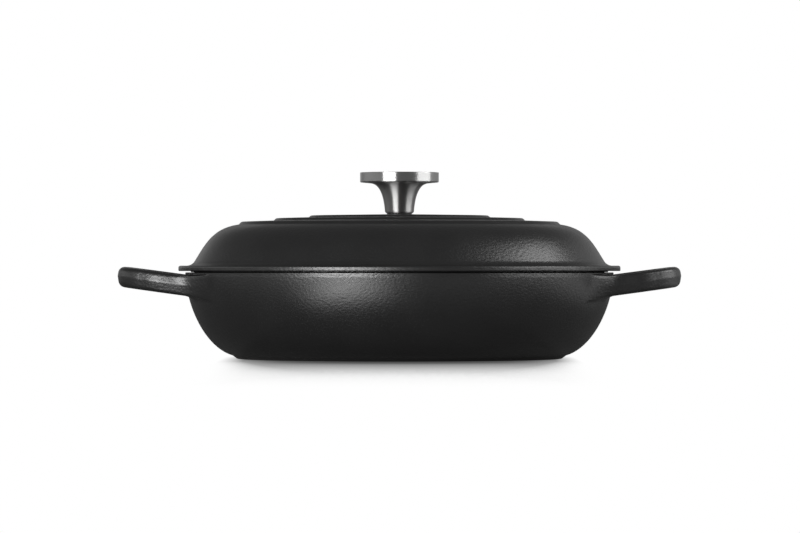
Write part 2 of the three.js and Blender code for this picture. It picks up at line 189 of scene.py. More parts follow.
class KnobSizes(PropertyGroup):
    """Sizes of the knob and its fastening."""

    foot_radius: length("Stem foot", "Radius of the stem above its foot chamfer", 10.3)
    foot_chamfer: length("Foot chamfer", "Size of the chamfer round the stem's foot", 1)
    flare_lean: slope("Flare lean", "Lean of the stem from upright at its foot", 3.9)
    flare_slope: slope("Flare slope", "Slope of the stem where it meets the cap", 10.5)
    low_pull: length("Low pull", "How far the stem keeps its lean", 7.8)
    high_pull: length("High pull", "How far the stem keeps its top slope", 6.9)
    bore: length("Bore", "Radius of the stem's bore", 8.4)
    stem_floor: length("Stem floor", "Thickness of the stem's floor", 3.5)
    neck_hole: length("Neck hole", "Radius of the hole in the stem's floor", 5)
    cap_top: length("Cap top", "Height of the cap's top", CAP_HIGH.z / MM - 0.6)
    cap_undercut: length("Cap undercut", "Rise of the cap's underside towards its rim", 0.8)
    cap_edge: length("Cap edge", "Rounding of the cap's lower edge", 0.9)
    cap_top_edge: length("Cap top edge", "Rounding of the cap's upper edge", 0.4)
    cap_shell: length("Cap shell", "Thickness of the cap's walls", 2.2)
    spigot_wall: length("Spigot wall", "Thickness of the cap's spigot", 1.6)
    fit: length("Fit", "Play of the spigot in the bore", 0.2)
    thread_pitch: length("Thread pitch", "Pitch of the screw's thread", 1)
    thread_depth: length("Thread depth", "Depth of the screw's thread", 0.55)
    shank_radius: length("Shank radius", "Outer radius of the screw's thread", 3)
    head_height: length("Head height", "Height of the screw's head", 3.6)
    head_edge: length("Head edge", "Rounding of the screw's head", 1.8)
    recess_length: length("Recess length", "Length of the cross in the screw's head", 6.4)
    recess_width: length("Recess width", "Width of the cross in the screw's head", 1.5)
    recess_depth: length("Recess depth", "Depth of the cross in the screw's head", 1.9)
    washer_edge: length("Washer edge", "Rounding of the washers' edges", 0.2)
    split: length("Split", "Width of the spring washer's split", 0.8)
    split_lean: slope("Split lean", "Lean of the spring washer's split", 25)


class Finishes(PropertyGroup):
    """Colours and gloss of the surfaces."""

    enamel_dark: colour("Enamel, dark", "Darkest tone of the enamel", (0.0105, 0.0105, 0.0106))
    enamel_light: colour("Enamel, light", "Lightest tone of the enamel", (0.0147, 0.0147, 0.0148))
    enamel_gloss: share("Enamel gloss", "Specular level of the enamel", 0.75)
    enamel_rough: share("Enamel roughness", "Roughness of the enamel, seen from in front", 0.33)
    enamel_edge_rough: share("Enamel edge roughness", "Roughness of the enamel, seen edge-on", 0.43)
    peel: length("Peel height", "Height of the enamel's orange-peel ripples", 0.17)
    iron: colour("Rim", "Bare seasoned iron on the rim and the lid's seat", (0.016, 0.0155, 0.015))
    polished: colour("Polished steel", "Colour of the knob's stem", (0.51, 0.507, 0.503))
    brushed: colour("Brushed steel", "Colour of the knob's cap", (0.6, 0.6, 0.595))
    plain: colour("Plain steel", "Colour of the screw and washers", (0.5, 0.5, 0.495))
    gasket: colour("Gasket", "Colour of the washer under the knob", (0.012, 0.012, 0.012))


class StudioSettings(PropertyGroup):
    """Camera, lamps and floor."""

    distance: length("Distance", "Distance of the camera from the pot's axis", 3360)
    frame_width: length("Frame width", "Width that the camera sees at the pot's axis", 568.8)
    eye_height: length("Eye height", "Height of the level camera", 65.4)
    eye_side: length("Eye side", "Distance of the camera to the right of the pot's axis", 0.4)
    front_power: power("Front lamp", "Power of the front lamp", 21.3)
    side_power: power("Side lamp", "Power of the side lamp", 7.8)
    low_power: power("Low lamp", "Power of the low lamp", 3.8)
    ambient: share("Ambient", "Brightness of the unlit studio", 0.13)
    floor_tone: share("Floor", "Tone of the floor that lights the pot from below", 0.15)
    # Reflections show the floor as emission, not as lit by the lamps: dim near the pot, which is painted
    # shade, brighter further out, and with painted pools of light below the front and low lamps.
    floor_lift: share("Floor lift", "White of the floor near the pot, as reflections show it", 0.045)
    floor_far: share("Far floor", "White of the floor beside the pot, as reflections show it", 0.2)
    painted_floor_glow: number("Floor glow", "Brightness of the floor below the front lamp", 6.3)
    painted_side_glow: number("Side glow", "Brightness of the floor below the low lamp", 0.8)
    card: share("Card", "White of the card on the left, as reflections show it", 1)
    shadow_reach: length("Shadow reach", "How far the pot darkens the floor", 700)
    shadow_width: length("Shadow width", "Half of the width of the pot's shadow", 118)


class CastIronPot(PropertyGroup):
    """All settings of the pot."""

    pot: PointerProperty(type=PotSizes)
    handle: PointerProperty(type=HandleSizes)
    lid: PointerProperty(type=LidSizes)
    knob: PointerProperty(type=KnobSizes)
    finish: PointerProperty(type=Finishes)
    studio: PointerProperty(type=StudioSettings)


# Curves and outlines, as arrays of points


def ray(angle, reach):
    return reach * np.array([math.cos(angle), math.sin(angle)])


def pulled_curve(start, start_angle, start_pull, end, end_angle, end_pull):
    """Control points of a cubic curve that leaves its start and reaches its end at the given angles."""
    start, end = np.array(start), np.array(end)
    return np.array([start, start + ray(start_angle, start_pull), end - ray(end_angle, end_pull), end])


def curve_points(controls, shares):
    """Points of a Bezier curve: its control points weighted by the Bernstein polynomials of each share."""
    degree = len(controls) - 1
    powers = np.arange(degree + 1)
    ways = np.array([math.comb(degree, power) for power in powers])
    t = np.reshape(shares, (-1, 1))
    weights = ways * t**powers * (1 - t) ** (degree - powers)
    return np.tensordot(weights, np.asarray(controls), 1)


def unit(vectors):
    return vectors / np.linalg.norm(vectors, axis=-1, keepdims=True)


def way_along(points):
    """The way that an outline runs at each of its points, as unit vectors."""
    return unit(np.gradient(points, axis=0))


def left_of(points, distance):
    """The points of an outline, each moved by a distance to the left of the way that the outline runs."""
    along = way_along(points)
    return points + distance * np.stack([-along[:, 1], along[:, 0]], 1)


def along_outline(outline):
    """How far each point of an outline lies from its start, measured along it."""
    return np.append(0, np.cumsum(np.linalg.norm(np.diff(outline, axis=0), axis=1)))


def points_at(outline, stops):
    """The points of an outline that lie at some distances along it."""
    run = along_outline(outline)
    return np.stack([np.interp(stops, run, axis) for axis in outline.T], 1)


def rounded(corners, steps=8):
    """Outline through corners (x, y, radius). A corner with a radius gives way to the arc that touches
    both of its edges, and arcs that would meet on an edge shrink until there is room for both."""
    corners = np.asarray(corners, float)
    tips, radii = corners[:, :2], corners[:, 2]
    ahead = np.roll(tips, -1, axis=0) - tips
    reach = np.linalg.norm(ahead, axis=1)
    ahead /= reach[:, None]
    back = -np.roll(ahead, 1, axis=0)
    half = np.arccos(np.clip((back * ahead).sum(1), -1, 1)) / 2
    cut = radii / np.tan(half)
    room = 0.96 * reach / np.maximum(cut + np.roll(cut, -1), 1e-9)
    cut *= np.minimum(1, np.minimum(room, np.roll(room, 1)))
    stretches = []
    for i, tip in enumerate(tips):
        if radii[i] == 0:
            stretches.append(tip[None])
            continue
        middle = back[i] + ahead[i]
        centre = tip + unit(middle) * cut[i] / math.cos(half[i])
        arm = tip + back[i] * cut[i] - centre
        side = np.sign(ahead[i, 0] * back[i, 1] - ahead[i, 1] * back[i, 0])
        angles = side * (math.pi - 2 * half[i]) * np.linspace(0, 1, steps + 1)
        cos, sin = np.cos(angles), np.sin(angles)
        stretches.append(centre + np.stack([cos * arm[0] - sin * arm[1], sin * arm[0] + cos * arm[1]], 1))
    return np.concatenate(stretches)


def guarded(points, near=0.35 * MM, longest=6 * MM):
    """The outline with more points along its long straight stretches and close to their ends, so that
    smooth shading stays flat there."""
    stretches = []
    for start, end in zip(points[:-1], points[1:]):
        reach = np.linalg.norm(end - start)
        shares = [0.0]
        if reach > 4 * near:
            count = math.ceil(reach / longest) + 1
            shares += list(np.linspace(near / reach, 1 - near / reach, count))
        stretches.append(start + np.outer(shares, end - start))
    return np.concatenate([*stretches, points[-1:]])


# Meshes

SHARP_ANGLE = math.radians(35)


def quads_between(index):
    """Quads of a grid of point numbers whose columns close round, each along its row and on to the next."""
    right = np.roll(index, -1, axis=1)
    return np.stack([index[:-1], right[:-1], right[1:], index[1:]], -1)


def round_axis(radius, angle, height):
    """Points (r cos a, r sin a, z) at some radii r, angles a and heights z."""
    radius, angle, height = np.broadcast_arrays(radius, angle, height)
    return np.stack([radius * np.cos(angle), radius * np.sin(angle), height], -1)


def turned(profile, columns):
    """Surface of revolution. Point (i, j) has the radius and height of the profile's point i and the angle
    2 pi j / columns. A profile that starts and ends on the axis closes at one point there, and another one
    closes on itself. Gives the points and the grid of their numbers."""
    radius, height = profile[:, :1], profile[:, 1:]
    points = round_axis(radius, np.arange(columns) * TURN / columns, height).reshape(-1, 3)
    index = np.arange(len(points)).reshape(-1, columns)
    if radius[0] == 0:
        index[0], index[-1] = index[0, 0], index[-1, 0]
    else:
        index = np.vstack([index, index[:1]])
    return points, index


def new_piece(name, points, quads, materials, finish_of_quad=0):
    """A smooth mesh object at the origin. A quad with two equal points in a row becomes a triangle, and
    points that no face uses are left out."""
    used, order = np.unique(quads, return_inverse=True)
    quads = order.reshape(-1, 4).astype(np.int32)
    kept = quads != np.roll(quads, 1, axis=1)
    corners = kept.sum(1)
    finishes = np.broadcast_to(np.ravel(finish_of_quad), len(quads))
    mesh = bpy.data.meshes.new(name)
    mesh.vertices.add(len(used))
    mesh.vertices.foreach_set("co", points[used].astype(np.float32).ravel())
    mesh.loops.add(int(corners.sum()))
    mesh.loops.foreach_set("vertex_index", quads[kept])
    mesh.polygons.add(len(quads))
    mesh.polygons.foreach_set("loop_start", (np.cumsum(corners) - corners).astype(np.int32))
    mesh.polygons.foreach_set("use_smooth", np.ones(len(quads), bool))
    for material in materials:
        mesh.materials.append(material)
    mesh.polygons.foreach_set("material_index", finishes.astype(np.int32))
    mesh.update(calc_edges=True)
    mesh.set_sharp_from_angle(angle=SHARP_ANGLE)
    piece = bpy.data.objects.new(name, mesh)
    bpy.context.scene.collection.objects.link(piece)
    return piece


def place_piece(piece, body, slot, *nodes):
    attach(piece, body)
    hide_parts(*nodes)


# Finishes

STEELS = {
    "polished_stem": {"rough": 0.43, "spread": 0.02, "marks": 0.002 * MM, "anisotropy": 1},
    "brushed_cap": {"rough": 0.31, "spread": 0.05, "marks": 0.008 * MM, "anisotropy": 1},
    "plain_steel": {"rough": 0.34, "spread": 0.06, "marks": 0.01 * MM, "anisotropy": 0.3},
}


def new_material(name):
    material = bpy.data.materials.new(name)
    material.use_nodes = True
    tree = material.node_tree
    return material, tree, tree.nodes["Principled BSDF"]


def feed(tree, node, inputs):
    """Gives each input of a node an output of another node, or a value of its own."""
    for socket, value in inputs.items():
        if isinstance(value, bpy.types.NodeSocket):
            tree.links.new(value, node.inputs[socket])
        else:
            node.inputs[socket].default_value = value


def result(tree, kind, inputs, output=0, **settings):
    """One output of a new node, which is its first unless another one is named."""
    node = tree.nodes.new("ShaderNode" + kind)
    for name, value in settings.items():
        setattr(node, name, value)
    feed(tree, node, inputs)
    return node.outputs[output]


def object_place(tree):
    return result(tree, "TexCoord", {}, "Object")


def split_place(tree, place):
    """The X, Y and Z of a place."""
    return tuple(result(tree, "SeparateXYZ", {"Vector": place}).node.outputs)


def scaled_place(tree, place, scale):
    return result(tree, "Mapping", {"Vector": place, "Scale": scale})


def noise(tree, place, scale, detail=2.0, roughness=0.5, distortion=0.0):
    inputs = {"Vector": place, "Scale": scale, "Detail": detail}
    inputs |= {"Roughness": roughness, "Distortion": distortion}
    return result(tree, "TexNoise", inputs)


def maths(tree, operation, *values):
    return result(tree, "Math", dict(enumerate(values)), operation=operation)


def any_of(tree, *values):
    """The largest of some values."""
    return reduce(lambda first, second: maths(tree, "MAXIMUM", first, second), values)


def times(tree, *values):
    """The product of some values."""
    return reduce(lambda first, second: maths(tree, "MULTIPLY", first, second), values)


def between(tree, value, low, high, from_low=0.3, from_high=0.7):
    """A value spread from one range to another, and held at its ends."""
    inputs = {"Value": value, "From Min": from_low, "From Max": from_high, "To Min": low, "To Max": high}
    return result(tree, "MapRange", inputs)


def mixed(tree, factor, first, second):
    """A colour between two others."""
    inputs = {"Factor": factor, "A": (*first, 1), "B": (*second, 1)}
    return result(tree, "Mix", inputs, "Result", data_type="RGBA")


def bumped(tree, height, distance, **under):
    """A surface normal that follows a height, over another Normal if one is given."""
    return result(tree, "Bump", {"Height": height, "Strength": 1, "Distance": distance, **under})


def toned(tone, part):
    return tuple(part * channel for channel in tone)


def satin_enamel(tree, finish):
    """Black enamel, satin, with orange-peel ripples a few millimetres long, a fine grain and cloudy gloss.
    It is duller where it is seen edge-on."""
    place = object_place(tree)
    clouds = noise(tree, place, scale=40, detail=3)
    flattened = scaled_place(tree, place, (1, 1, 1.5))
    ripples = noise(tree, flattened, scale=470, detail=1.5, roughness=0.45, distortion=0.3)
    rippled = bumped(tree, ripples, finish.peel)
    grain = noise(tree, place, scale=1700, detail=1)
    rough = between(tree, clouds, finish.enamel_rough - 0.02, finish.enamel_rough + 0.02)
    facing = result(tree, "LayerWeight", {"Blend": 0.5}, "Facing")
    dulled = between(tree, facing, 0, finish.enamel_edge_rough, from_low=0.55, from_high=1)
    return {
        "Base Color": mixed(tree, clouds, finish.enamel_dark, finish.enamel_light),
        "Roughness": any_of(tree, rough, dulled),
        "Specular IOR Level": finish.enamel_gloss,
        "Normal": bumped(tree, grain, finish.peel / 6, Normal=rippled),
    }


def seasoned_iron(tree, finish):
    """Ground iron without enamel, darkened by oil, on the rim and the lid's seat."""
    place = object_place(tree)
    patches = noise(tree, place, scale=90, detail=4, roughness=0.6)
    pores = noise(tree, place, scale=1200)
    return {
        "Base Color": mixed(tree, patches, toned(finish.iron, 0.6), finish.iron),
        "Roughness": between(tree, patches, 0.5, 0.65),
        "Specular IOR Level": finish.enamel_gloss,
        "Normal": bumped(tree, pores, 0.06 * MM),
    }


def lathe_place(tree, along, around):
    """Coordinates in which marks left by turning are long: they change quickly with height plus radius,
    and slowly round the axis."""
    x, y, z = split_place(tree, object_place(tree))
    flat = result(tree, "CombineXYZ", {"X": x, "Y": y})
    radius = result(tree, "VectorMath", {0: flat}, "Value", operation="LENGTH")
    joined = result(tree, "CombineXYZ", {"X": x, "Y": y, "Z": maths(tree, "ADD", z, radius)})
    return scaled_place(tree, joined, (around, around, along))


def turned_steel(tree, tone, rough, spread, marks, anisotropy):
    """Steel with fine marks that run round the axis, which spread its reflections across them."""
    lines = noise(tree, lathe_place(tree, along=9000, around=60), scale=1, detail=3, roughness=0.6)
    return {
        "Base Color": mixed(tree, between(tree, lines, 0, 1), toned(tone, 0.88), tone),
        "Metallic": 1,
        "Roughness": between(tree, lines, rough - spread, rough + spread),
        "Normal": bumped(tree, lines, marks),
        "Anisotropic": anisotropy,
        "Anisotropic Rotation": 0.25,
        "Tangent": result(tree, "Tangent", {}, direction_type="RADIAL", axis="Z"),
    }


def dull_fibre(tree, finish):
    """Pressed fibre of the washer under the knob."""
    fibres = noise(tree, object_place(tree), scale=1500, detail=3)
    return {
        "Base Color": mixed(tree, fibres, finish.gasket, toned(finish.gasket, 1.8)),
        "Roughness": 0.85,
        "Normal": bumped(tree, fibres, 0.05 * MM),
    }


def finished(name, inputs_of, *settings, **amounts):
    """The material of that name, made when it is first asked for. No finish has the name of a slot."""
    material = bpy.data.materials.get(name)
    if material is None:
        material, tree, shader = new_material(name)
        feed(tree, shader, inputs_of(tree, *settings, **amounts))
    return material


def casting_finishes(finish):
    """The enamel of both castings, and the bare iron where they meet."""
    makers = {"satin_black_enamel": satin_enamel, "seasoned_iron": seasoned_iron}
    return [finished(name, maker, finish) for name, maker in makers.items()]


def steel(name, tone):
    """Turned steel with the gloss that goes by its name."""
    return finished(name, turned_steel, tone, **STEELS[name])


# Pot

POT_COLUMNS = 360
ROOT_ROWS = 14
FILLET_ROWS = 12
LEG_ROWS = 4
SWEEP_ROWS = 64
BAND_SHARES = (0.93, 0.75, 0.5, 0.3)
ROOT_PULLS = (0, 0.3, 0.6)
LONGEST_ROOT = 60 * MM
HALVINGS = 40


def pot_side(pot):
    """The outside of the bowl, from its foot to the rim band, as a cubic curve."""
    return pulled_curve(
        (pot.foot_radius + pot.foot_spread, pot.foot_height),
        pot.side_slope,
        pot.low_pull,
        (pot.rim_radius, pot.height - pot.band),
        pot.side_lean,
        pot.high_pull,
    )


def pot_profile(pot, root_low):
    """The bowl's section from the middle of its underside, up the outside, over the rim and down inside
    to the middle of its floor. Gives the points, the rows that the handles' roots lie between, and the
    rows where the rim's land starts and ends."""
    side = pot_side(pot)
    fine = np.linspace(0, 1, 400)
    fine_points = curve_points(side, fine)
    root_start = np.interp(root_low, fine_points[:, 1], fine)
    foot_end = 0.05
    low = curve_points(side, np.linspace(foot_end, root_start, 30))
    crease = 0.99
    high = curve_points(side, np.append(np.linspace(root_start, crease, ROOT_ROWS - 1), 1))
    foot_corners = [
        (0, 0, 0),
        (pot.foot_radius, 0, pot.foot_edge),
        (*side[0], pot.foot_edge),
        (*low[0], 0),
    ]
    foot = rounded(foot_corners)[:-1]
    band = np.array([(pot.rim_radius, pot.height - part * pot.band) for part in BAND_SHARES])
    land_radius = pot.rim_radius - pot.rim_width
    wall_radius = pot.rim_radius - pot.wall
    rim_corners = [
        (*band[-1], 0),
        (pot.rim_radius, pot.height, pot.rim_edge),
        (land_radius, pot.height, pot.rim_edge),
        (land_radius, pot.height - pot.bead, pot.bead),
        (wall_radius, pot.height - 2 * pot.bead, pot.bead),
        (wall_radius, pot.height - 3 * pot.bead, 0),
    ]
    rim = rounded(rim_corners)[1:-1]
    inside = left_of(fine_points, pot.wall)
    inside = inside[inside[:, 1] < pot.height - 2.6 * pot.bead][::-9]
    floor_run = (inside[-1, 1] - pot.floor) / math.tan(pot.side_slope)
    floor_corners = [
        (*inside[-1], 0),
        (inside[-1, 0] - floor_run, pot.floor, pot.floor_fillet),
        (0, pot.floor, 0),
    ]
    bottom = rounded(floor_corners)[1:]
    outside = [guarded(foot), low[:-1], high, band]
    root_row = sum(map(len, outside[:2]))
    rim_row = sum(map(len, outside))
    profile = np.concatenate([*outside, guarded(rim), inside, guarded(bottom, longest=10 * MM)])
    land_rows = np.flatnonzero(np.isclose(profile[:, 1], pot.height))
    return profile, (root_row, rim_row - 1), (land_rows[0], land_rows[-1])


def handle_section(handle, edge, low_edge, across, upright):
    """The bar's outline as pairs (towards the loop's inside, up), in the order of the points round its
    root: along the bottom from inside to outside, up, back along the top, and down. It is a hexagon with
    rounded edges, which is widest at the mould's parting line."""
    half_width, half_height = handle.bar / 2, handle.thickness / 2
    narrow = half_width - handle.draft
    corners = [
        (narrow, -half_height, low_edge),
        (-narrow, -half_height, low_edge),
        (-half_width, handle.parting, handle.seam),
        (-narrow, half_height, edge),
        (narrow, half_height, edge),
        (half_width, handle.parting, handle.seam),
    ]
    arc = 24
    outline = rounded(corners, steps=arc)
    outline = np.vstack([outline, outline[:1]])
    run = along_outline(outline)
    middles = run[arc // 2 + np.arange(len(corners)) * (arc + 1)]
    ends = np.append(middles, middles[0] + run[-1])
    low = upright // 2
    high = upright - low
    spans = zip(ends[:-1], ends[1:], (across, low, high, across, high, low))
    stops = np.concatenate([np.linspace(start, end, count, endpoint=False) for start, end, count in spans])
    return points_at(outline, stops % run[-1])


def handle_line(handle, pot):
    """Half of the bar's middle line as seen from above, from a leg's start to the middle of the grip, as
    evenly spaced points, with the way that the line runs."""
    grip = handle.tip - handle.bar / 2
    narrowing = (handle.root_width - handle.bend_width) * handle.root_length / handle.bend
    side = [
        (pot.rim_radius + handle.root_length, (handle.root_width - narrowing) / 2, 0),
        (pot.rim_radius + handle.bend, handle.bend_width / 2, handle.leg_curve),
        (grip - handle.bow, handle.tip_width / 2, handle.corner),
    ]
    other_side = [(x, -y, radius) for x, y, radius in reversed(side)]
    line = rounded([*side, (grip, 0, pot.rim_radius), *other_side], steps=40)
    stops = np.linspace(0, along_outline(line)[-1], 2 * SWEEP_ROWS + 1)
    points = points_at(line, stops)
    return points[: SWEEP_ROWS + 1], way_along(points)[: SWEEP_ROWS + 1]


def half_handle(handle, pot, profile, roots):
    """Half of a handle as rings of points, from the wall to the middle of the grip.

    The bar's section is carried upright along its middle line, which rises outwards, and its edges grow
    rounder as the line turns from the leg into the grip. Each line of points runs on from the leg's first
    section to the wall's surface, and its last part is a rounded corner: a Bezier curve of degree five from
    the edge of the root, along the wall, round the point where the leg would meet the wall, and out along
    the leg. It leaves both without bending at first."""
    across, upright, wall_points, wall_normals = roots
    leg_section = handle_section(handle, handle.leg_edge, handle.leg_low_edge, across, upright)
    grip_section = handle_section(handle, handle.grip_edge, handle.grip_low_edge, across, upright)
    line, along = handle_line(handle, pot)
    inward = np.stack([along[:, 1], -along[:, 0]], 1)
    turned_in = np.clip(-along[:, 1], 0, 1)[:, None, None] ** 2
    section = leg_section + turned_in * (grip_section - leg_section)
    plan = line[:, None] + section[..., :1] * inward[:, None]
    climb = math.tan(handle.tilt)
    middle = pot.height - handle.drop
    height = middle + (plan[..., :1] - pot.rim_radius) * climb + section[..., 1:]
    bar = np.concatenate([plan, height], -1)
    leg = unit(np.array([*along[0], along[0, 0] * climb]))

    outside = profile[: len(profile) // 2]
    outside = outside[: np.argmax(outside[:, 1]) + 1]
    near, far = np.zeros(len(leg_section)), np.full(len(leg_section), LONGEST_ROOT)
    for _ in range(HALVINGS):
        half_way = (near + far) / 2
        x, y, z = (bar[0] - half_way[:, None] * leg).T
        clear = np.hypot(x, y) > np.interp(z, outside[:, 1], outside[:, 0])
        near, far = np.where(clear, half_way, near), np.where(clear, far, half_way)
    meeting = bar[0] - near[:, None] * leg

    run_in = meeting - wall_points
    run_in -= (run_in * wall_normals).sum(1, keepdims=True) * wall_normals
    reach = np.minimum(np.linalg.norm(run_in, axis=1), 0.9 * near)[:, None]
    on_leg = meeting + reach * leg
    pulls = np.reshape(ROOT_PULLS, (-1, 1, 1))
    controls = np.concatenate([wall_points + pulls * run_in, on_leg - pulls[::-1] * reach * leg])
    fillet = curve_points(controls, np.linspace(0, 1, FILLET_ROWS + 1)[1:])
    shares = np.linspace(0, 1, LEG_ROWS + 1)[1:, None, None]
    straight = on_leg + shares * (bar[0] - on_leg)
    return np.concatenate([fillet, straight, bar[1:]])


def pot_mesh(settings):
    """The bowl is a surface of revolution with four openings in its side. Each handle is a tube that closes
    two of them, and the second handle is the first one turned half round."""
    pot, handle = settings.pot, settings.handle
    leg_bottom = pot.height - handle.drop - handle.thickness / 2
    profile, (low_row, high_row), land = pot_profile(pot, leg_bottom - handle.under_fillet)
    points, index = turned(profile, POT_COLUMNS)
    quads = quads_between(index)
    finish_of_quad = np.zeros(quads.shape[:2], int)
    finish_of_quad[land[0] : land[1]] = 1

    per_turn = POT_COLUMNS / TURN
    first, last = round(handle.inner_spread * per_turn), round(handle.outer_spread * per_turn)
    across, upright = last - first, high_row - low_row
    up_rows, cells = np.arange(low_row, high_row), np.arange(first, last)
    rows = [np.full(across, low_row), up_rows, np.full(across, high_row), up_rows[::-1] + 1]
    columns = [cells, np.full(upright, last), cells[::-1] + 1, np.full(upright, first)]
    rows, columns = np.concatenate(rows), np.concatenate(columns)
    kept = np.ones(quads.shape[:2], bool)
    half_turn = POT_COLUMNS // 2
    for opening in (cells, -1 - cells, half_turn + cells, half_turn - 1 - cells):
        kept[low_row:high_row, opening % POT_COLUMNS] = False

    out, up = way_along(profile)[rows].T
    normals = round_axis(up, columns * TURN / POT_COLUMNS, -out)
    half = half_handle(handle, pot, profile, (across, upright, points[index[rows, columns]], normals))
    whole = np.concatenate([half, half[-2::-1] * (1, -1, 1)])

    all_points, all_quads, all_finishes = [points], [quads[kept]], [finish_of_quad[kept]]
    count = len(points)
    for turn, sign in ((0, 1), (half_turn, -1)):
        rings = count + np.arange(whole.shape[0] * whole.shape[1]).reshape(whole.shape[:2])
        start = index[rows, (turn + columns) % POT_COLUMNS]
        end = index[rows, (turn - columns) % POT_COLUMNS]
        tube = quads_between(np.vstack([start, rings, end])).reshape(-1, 4)
        all_points.append((whole * (sign, sign, 1)).reshape(-1, 3))
        all_quads.append(tube)
        all_finishes.append(np.zeros(len(tube), int))
        count += rings.size
    return np.concatenate(all_points), np.concatenate(all_quads), np.concatenate(all_finishes)


class BuildPot(Operator):
    """Builds the pot: bowl, foot, rim and both loop handles as one casting"""

    bl_idname = "cast_iron_pot.build_pot"
    bl_label = "Pot"

    def execute(self, context):
        settings = context.scene.cast_iron_pot
        points, quads, finishes = pot_mesh(settings)
        piece = new_piece("pot_casting", points, quads, casting_finishes(settings.finish), finishes)
        place_piece(piece, "pot", "black_enamel", "pot")
        return {"FINISHED"}


# Lid

LID_COLUMNS = 270


def lid_profile(lid):
    """The lid's section, closed: outside the locating ring, along the seat and the flange, up the side,
    over the steps to the screw's hole, and back along the inside."""
    flange_low = lid.seat + lid.seat_step
    flange_high = flange_low + lid.flange
    first_step = lid.top - sum(lid.step_rises) - sum(lid.terrace_rises)
    step_radius = lid.side_radius - lid.shoulder_width
    shoulder = pulled_curve(
        (lid.side_radius, flange_high + lid.side_rise),
        math.pi / 2 + lid.side_lean,
        lid.low_pull,
        (step_radius, first_step),
        math.pi - lid.shoulder_slope,
        lid.high_pull,
    )
    dome = curve_points(shoulder, np.linspace(0, 1, 48))
    flange_root = lid.side_radius + lid.side_rise * math.tan(lid.side_lean)
    small = 0.3 * MM
    ring_inner = lid.ring_radius - lid.ring_width
    low_corners = [
        (lid.ring_radius, LID_LOW.z, 2 * small),
        (lid.ring_radius, lid.seat, small),
        (lid.seat_radius, lid.seat, small),
        (lid.seat_radius, flange_low, small),
        (lid.radius, flange_low, lid.flange_edge),
        (lid.radius, flange_high, lid.flange_top_edge),
        (flange_root, flange_high, lid.side_fillet),
        (*dome[1], 0),
        (ring_inner, LID_LOW.z, 0),
    ]
    low = rounded(low_corners, steps=10)[:-2]
    corners = [(*dome[-2], 0)]
    radius, foot = step_radius, first_step
    for rise, terrace in zip(lid.step_rises, lid.terrace_rises):
        corners.append((radius, foot, lid.step_foot))
        corners.append((radius - rise, foot + rise, lid.step_edge))
        radius -= lid.step_pitch
        foot += rise + terrace
    ceiling = lid.top - lid.wall
    corners += [
        (GASKET_HIGH.x, lid.top, 0),
        (lid.hole_radius, lid.top, small),
        (lid.hole_radius, ceiling, small),
        (WASHER_HIGH.x + small, ceiling, 0),
    ]
    top = rounded(corners, steps=10)[1:]
    inside = left_of(dome, lid.wall)[::-2]
    ring_corners = [
        (*inside[-1], 0),
        (ring_inner, LID_LOW.z, 2 * small),
        (lid.ring_radius, LID_LOW.z, 0),
    ]
    ring = rounded(ring_corners)[1:-1]
    profile = np.concatenate([low, dome[1:-1], top, inside, ring, low[:1]])
    profile = guarded(profile)[:-1]
    seat_rows = np.flatnonzero(np.isclose(profile[:, 1], lid.seat) & (profile[:, 0] > lid.ring_radius))
    return profile, (seat_rows[0], seat_rows[-1])


class BuildLid(Operator):
    """Builds the lid: flange, stepped dome and locating ring as one casting"""

    bl_idname = "cast_iron_pot.build_lid"
    bl_label = "Lid"

    def execute(self, context):
        settings = context.scene.cast_iron_pot
        profile, seat = lid_profile(settings.lid)
        points, index = turned(profile, LID_COLUMNS)
        quads = quads_between(index)
        finishes = np.zeros(quads.shape[:2], int)
        finishes[seat[0] : seat[1]] = 1
        piece = new_piece("lid_casting", points, quads, casting_finishes(settings.finish), finishes)
        place_piece(piece, "lid", "black_enamel", "lid")
        return {"FINISHED"}


# Knob

KNOB_COLUMNS = 192


def stem_profile(knob):
    """The stem's section, closed: foot chamfer, flare, mouth, bore and the floor that is clamped down."""
    mouth = (STEM_HIGH.x, STEM_HIGH.z)
    foot = (knob.foot_radius, STEM_LOW.z + knob.foot_chamfer)
    flare = pulled_curve(
        foot,
        math.pi / 2 - knob.flare_lean,
        knob.low_pull,
        mouth,
        knob.flare_slope,
        knob.high_pull,
    )
    outside = curve_points(flare, np.linspace(0, 1, 56))
    small = 0.15 * MM
    foot_corners = [
        (knob.neck_hole, STEM_LOW.z, 0),
        (knob.foot_radius - knob.foot_chamfer, STEM_LOW.z, small),
        (*foot, 2 * small),
        (*outside[1], 0),
    ]
    floor = STEM_LOW.z + knob.stem_floor
    inside = [
        (knob.bore, STEM_HIGH.z),
        (knob.bore, floor),
        (knob.neck_hole, floor),
        (knob.neck_hole, STEM_LOW.z),
    ]
    return guarded(np.concatenate([rounded(foot_corners), outside[2:], inside]))[:-1]


def cap_profile(knob):
    """The cap's section from its ceiling, through its hollow, spigot and underside, up the rim and over
    the top to the axis."""
    foot = STEM_HIGH.z + 0.05 * MM
    top = knob.cap_top
    radius = CAP_HIGH.x
    spigot_outer = knob.bore - knob.fit
    spigot_inner = spigot_outer - knob.spigot_wall
    hollow_floor = foot + knob.cap_undercut + knob.cap_shell
    corners = [
        (0, top - knob.cap_shell, 0),
        (radius - knob.cap_shell, top - knob.cap_shell, 0),
        (radius - knob.cap_shell, hollow_floor, 0),
        (spigot_inner, hollow_floor, 0),
        (spigot_inner, CAP_LOW.z, 0),
        (spigot_outer, CAP_LOW.z, 0),
        (spigot_outer, foot, 0),
        (STEM_HIGH.x, foot, 0),
        (radius, foot + knob.cap_undercut, knob.cap_edge),
        (radius, top, knob.cap_top_edge),
        (0, top, 0),
    ]
    return guarded(rounded(corners), longest=3 * MM)


def ring_outline(inner, low, high, edge):
    """Section of a flat ring that fills a node's box outside its hole, with rounded edges."""
    corners = ((high.x, low.z), (high.x, high.z), (inner, high.z), (inner, low.z))
    return rounded([(*corner, edge) for corner in corners])


